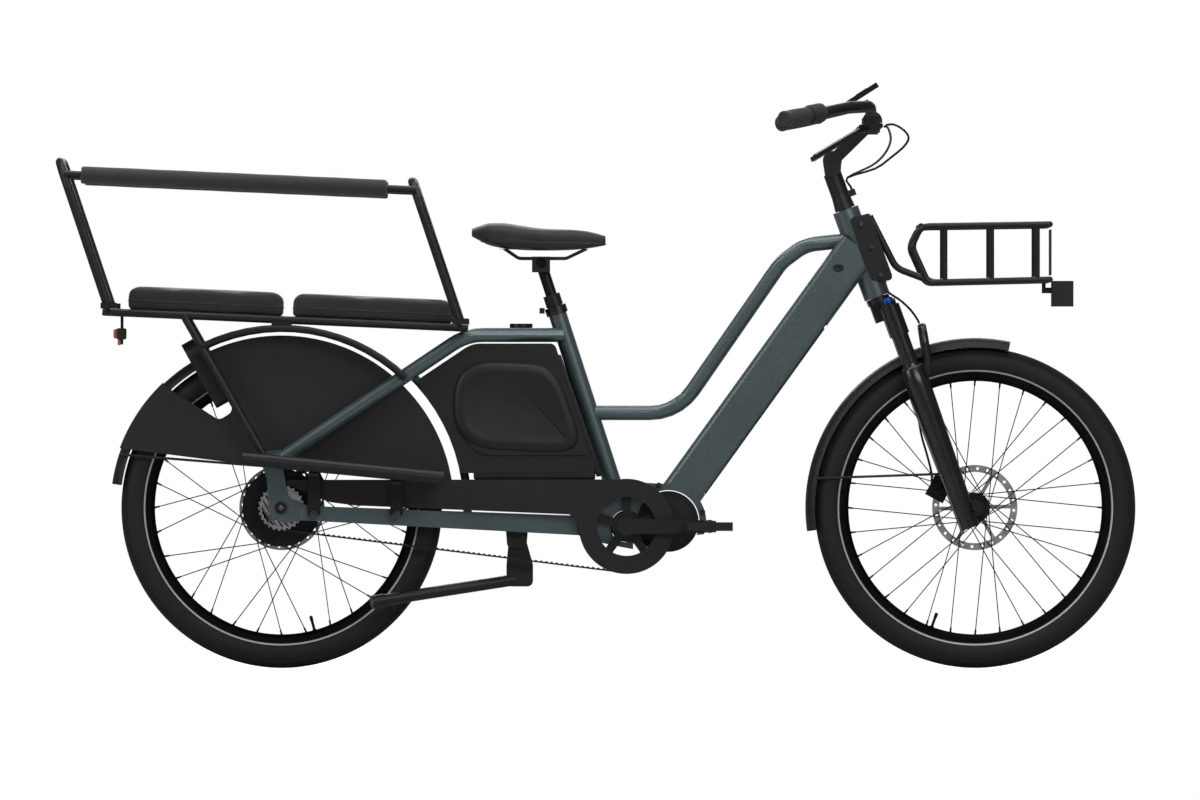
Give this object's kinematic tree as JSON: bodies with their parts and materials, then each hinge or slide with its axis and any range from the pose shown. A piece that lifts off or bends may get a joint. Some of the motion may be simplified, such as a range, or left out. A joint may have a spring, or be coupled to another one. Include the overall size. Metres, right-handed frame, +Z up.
{
  "type": "cargo bicycle",
  "caption": "Long-tail electric cargo bicycle with belt drive, step-through frame, padded passenger deck with railing, footboards, front basket and folding centre stand.",
  "frame": {"origin": "on the ground, below the middle of the bicycle's outer box", "axes": "+X forward, the way it rides, +Y to its left, +Z up"},
  "size_m": [2.2736, 0.6764, 1.2346],
  "materials": {
    "frame_paint": "satin, dark grey green",
    "black_paint": "satin powder coat",
    "black_plastic": "matte",
    "skirt_plastic": "fine grained",
    "motor_case": "matte",
    "foam": "closed cell foam",
    "pad_cover": "soft synthetic leather",
    "red_lens": "clear red",
    "dark_steel": "blackened",
    "dark_alloy": "black anodised",
    "belt_rubber": "matte",
    "fork_paint": "satin",
    "grip_rubber": "textured",
    "display_case": "glossy front",
    "hose": "satin",
    "tyre": "matte with a reflective line",
    "rim": "black anodised",
    "spoke": "black",
    "rotor": "brushed",
    "cog_steel": "plated",
    "saddle_cover": "grained synthetic",
    "lever_alloy": "satin"
  },
  "bodies": {
    "frame": {"head_tube": "frame_paint", "down_tube": "frame_paint", "top_tube": "frame_paint", "seat_tube": "frame_paint", "rear_triangle": "frame_paint", "motor_bracket": "frame_paint", "motor_housing": "motor_case", "belt_guard": "black_plastic", "side_boxes": "black_plastic", "rear_rack": "black_paint", "safety_rail": "black_paint", "foam_sleeves": "foam", "seat_pads": "pad_cover", "tail_light": "red_lens", "rear_mudguard": "black_plastic", "wheel_skirts": "skirt_plastic", "ring_lock": "black_paint", "footboards": "black_paint", "front_carrier": "black_paint", "headlight": "black_plastic", "rear_axle": "dark_steel", "rear_caliper": "dark_alloy", "drive_belt": "belt_rubber", "stand_bracket": "black_paint", "frame_bolts": "dark_steel"},
    "steering": {"fork_upper": "fork_paint", "stem_column": "black_paint"},
    "cockpit": {"stem_arm": "black_paint", "handlebar": "black_paint", "grips": "grip_rubber", "display": "display_case", "brake_bodies": "dark_alloy", "control_hoses": "hose"},
    "fork_legs": {"fork_lowers": "fork_paint", "front_mudguard": "black_plastic", "front_caliper": "dark_alloy", "front_brake_hose": "hose"},
    "front_wheel": {"front_tyre": "tyre", "front_rim": "rim", "front_spokes": "spoke", "front_hub": "dark_alloy", "front_rotor": "rotor"},
    "rear_wheel": {"rear_tyre": "tyre", "rear_rim": "rim", "rear_spokes": "spoke", "rear_hub": "dark_alloy", "rear_rotor": "rotor"},
    "cog": {"rear_cog": "cog_steel"},
    "cranks": {"crankset": "black_paint"},
    "right_pedal": {"pedal_right": "black_plastic"},
    "left_pedal": {"pedal_left": "black_plastic"},
    "post": {"seatpost": "black_paint"},
    "post_shaft": {"suspension_shaft": "dark_alloy"},
    "seat": {"saddle": "saddle_cover"},
    "stand": {"kickstand": "black_paint"},
    "right_lever": {"brake_lever_right": "lever_alloy"},
    "left_lever": {"brake_lever_left": "lever_alloy"},
    "shifter": {"twist_shifter": "grip_rubber"},
    "battery": {"battery_pack": "black_plastic"},
    "rocker": {"assist_rocker": "grip_rubber"}
  },
  "joints": [
    {"name": "steering", "type": "hinge", "parent": "frame", "child": "steering", "pos_m": [0.5887, 0, 0.782], "axis": [-0.342, 0, 0.9397], "range_deg": [-60, 60], "deforming": ["front_brake_hose"]},
    {"name": "stem_angle", "type": "hinge", "parent": "steering", "child": "cockpit", "pos_m": [0.494, 0, 1.06998], "axis": [0, 1, 0], "range_deg": [-12, 15], "deforming": ["control_hoses"]},
    {"name": "fork_travel", "type": "slide", "parent": "steering", "child": "fork_legs", "axis": [-0.342, 0, 0.9397], "range_m": [0, 0.05], "stiffness_N_per_m": 9000, "springref_m": -0.02},
    {"name": "front_wheel_spin", "type": "hinge", "parent": "fork_legs", "child": "front_wheel", "pos_m": [0.795, 0, 0.338], "axis": [0, 1, 0], "continuous": true},
    {"name": "rear_wheel_spin", "type": "hinge", "parent": "frame", "child": "rear_wheel", "pos_m": [-0.667, 0, 0.338], "axis": [0, 1, 0], "continuous": true},
    {"name": "crank_spin", "type": "hinge", "parent": "frame", "child": "cranks", "pos_m": [0.06, 0, 0.299], "axis": [0, 1, 0], "continuous": true, "deforming": ["drive_belt"]},
    {"name": "cog_spin", "type": "hinge", "parent": "frame", "child": "cog", "pos_m": [-0.667, 0, 0.338], "axis": [0, 1, 0], "continuous": true},
    {"name": "right_pedal_spin", "type": "hinge", "parent": "cranks", "child": "right_pedal", "pos_m": [0.235, -0.146, 0.299], "axis": [0, 1, 0], "continuous": true},
    {"name": "left_pedal_spin", "type": "hinge", "parent": "cranks", "child": "left_pedal", "pos_m": [-0.115, 0.146, 0.299], "axis": [0, 1, 0], "continuous": true},
    {"name": "seat_height", "type": "slide", "parent": "frame", "child": "post", "axis": [-0.309, 0, 0.9511], "range_m": [0, 0.12]},
    {"name": "seat_suspension", "type": "slide", "parent": "post", "child": "post_shaft", "axis": [-0.309, 0, 0.9511], "range_m": [-0.035, 0], "stiffness_N_per_m": 7000, "springref_m": 0.012},
    {"name": "saddle_tilt", "type": "hinge", "parent": "post_shaft", "child": "seat", "pos_m": [-0.1201, 0, 0.8533], "axis": [0, 1, 0], "range_deg": [-8, 8]},
    {"name": "kickstand_fold", "type": "hinge", "parent": "frame", "child": "stand", "pos_m": [-0.171, 0, 0.268], "axis": [0, -1, 0], "range_deg": [0, 103]},
    {"name": "right_brake_lever", "type": "hinge", "parent": "cockpit", "child": "right_lever", "pos_m": [0.55616, -0.164, 1.13568], "axis": [-0.665, 0.7425, -0.0809], "range_deg": [0, 18], "stiffness_Nm_per_rad": 1.5, "springref_deg": -14.32},
    {"name": "left_brake_lever", "type": "hinge", "parent": "cockpit", "child": "left_lever", "pos_m": [0.55616, 0.164, 1.13568], "axis": [0.665, 0.7425, 0.0809], "range_deg": [0, 18], "stiffness_Nm_per_rad": 1.5, "springref_deg": -14.32},
    {"name": "shifter_twist", "type": "hinge", "parent": "cockpit", "child": "shifter", "pos_m": [0.46816, -0.225, 1.16768], "axis": [-0.6108, -0.783, -0.1175], "range_deg": [-60, 60]},
    {"name": "battery_tilt", "type": "hinge", "parent": "frame", "child": "battery", "pos_m": [0.22845, 0, 0.36844], "axis": [0, 1, 0], "range_deg": [0, 6]},
    {"name": "assist_button", "type": "hinge", "parent": "cockpit", "child": "rocker", "pos_m": [0.55601, 0, 1.21305], "axis": [0, 1, 0], "range_deg": [-3, 3], "stiffness_Nm_per_rad": 0.05}
  ],
  "couplings": [
    {"joint": "cog_spin", "follows": "crank_spin", "ratio": 2.1154}
  ]
}
